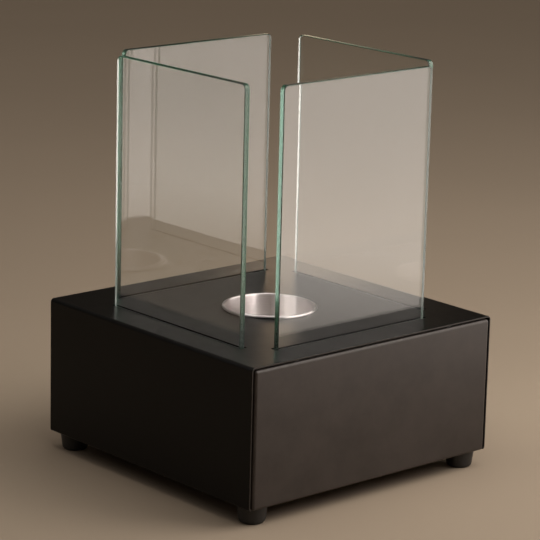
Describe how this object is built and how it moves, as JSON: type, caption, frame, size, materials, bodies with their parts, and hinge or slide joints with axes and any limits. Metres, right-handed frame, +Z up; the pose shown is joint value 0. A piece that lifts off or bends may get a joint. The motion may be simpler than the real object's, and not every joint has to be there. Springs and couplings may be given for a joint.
{
  "type": "tabletop bioethanol fireplace",
  "caption": "Low square steel casing on short feet, with loose upright glass panes standing in slots round a round lift-out burner cup.",
  "frame": {"origin": "on the surface that the feet stand on, under the middle of the casing", "axes": "+Z up, -Y out of the front panel, +X to the right seen from the front"},
  "size_m": [0.25, 0.25, 0.326],
  "materials": {
    "shell_coat": "satin black powder coat",
    "panel_coat": "fine-textured brown-black powder coat",
    "plate_coat": "matt black powder coat",
    "clear_glass": "clear float glass with polished green edges",
    "seal_rubber": "matt black silicone rubber",
    "zinc_sheet": "zinc-plated sheet",
    "foot_rubber": "satin black moulded rubber",
    "zinc_fasteners": "bright zinc plate",
    "black_fasteners": "black oxide",
    "spacer_nylon": "matt black nylon",
    "polished_steel": "polished stainless steel",
    "pierced_steel": "satin stainless steel",
    "ceramic_wool": "white fibrous ceramic wool"
  },
  "bodies": {
    "casing": {"cover_shell": "shell_coat", "front_panel": "panel_coat", "rear_panel": "panel_coat", "bottom_plate": "plate_coat", "glass_seal_front": "seal_rubber", "glass_seal_right": "seal_rubber", "glass_seal_rear": "seal_rubber", "glass_seal_left": "seal_rubber", "glass_channel_front": "zinc_sheet", "glass_channel_right": "zinc_sheet", "glass_channel_rear": "zinc_sheet", "glass_channel_left": "zinc_sheet", "foot_front_left": "foot_rubber", "foot_front_right": "foot_rubber", "foot_rear_right": "foot_rubber", "foot_rear_left": "foot_rubber", "channel_studs": "zinc_fasteners", "channel_nuts": "zinc_fasteners", "panel_studs": "zinc_fasteners", "panel_nuts": "zinc_fasteners", "base_nuts": "zinc_fasteners", "foot_nuts": "zinc_fasteners", "foot_washers": "zinc_fasteners", "base_screws": "black_fasteners", "foot_bolts": "black_fasteners", "panel_spacers": "spacer_nylon"},
    "pane_front": {"glass_pane_front": "clear_glass"},
    "pane_right": {"glass_pane_right": "clear_glass"},
    "pane_rear": {"glass_pane_rear": "clear_glass"},
    "pane_left": {"glass_pane_left": "clear_glass"},
    "burner": {"burner_cup": "polished_steel", "burner_wool": "ceramic_wool", "burner_disc": "pierced_steel"}
  },
  "joints": [
    {"name": "pane_front_lift", "type": "slide", "parent": "casing", "child": "pane_front", "axis": [0, 0, 1], "range_m": [0, 0.225]},
    {"name": "pane_right_lift", "type": "slide", "parent": "casing", "child": "pane_right", "axis": [0, 0, 1], "range_m": [0, 0.225]},
    {"name": "pane_rear_lift", "type": "slide", "parent": "casing", "child": "pane_rear", "axis": [0, 0, 1], "range_m": [0, 0.225]},
    {"name": "pane_left_lift", "type": "slide", "parent": "casing", "child": "pane_left", "axis": [0, 0, 1], "range_m": [0, 0.225]},
    {"name": "burner_lift", "type": "slide", "parent": "casing", "child": "burner", "axis": [0, 0, 1], "range_m": [0, 0.27]}
  ]
}
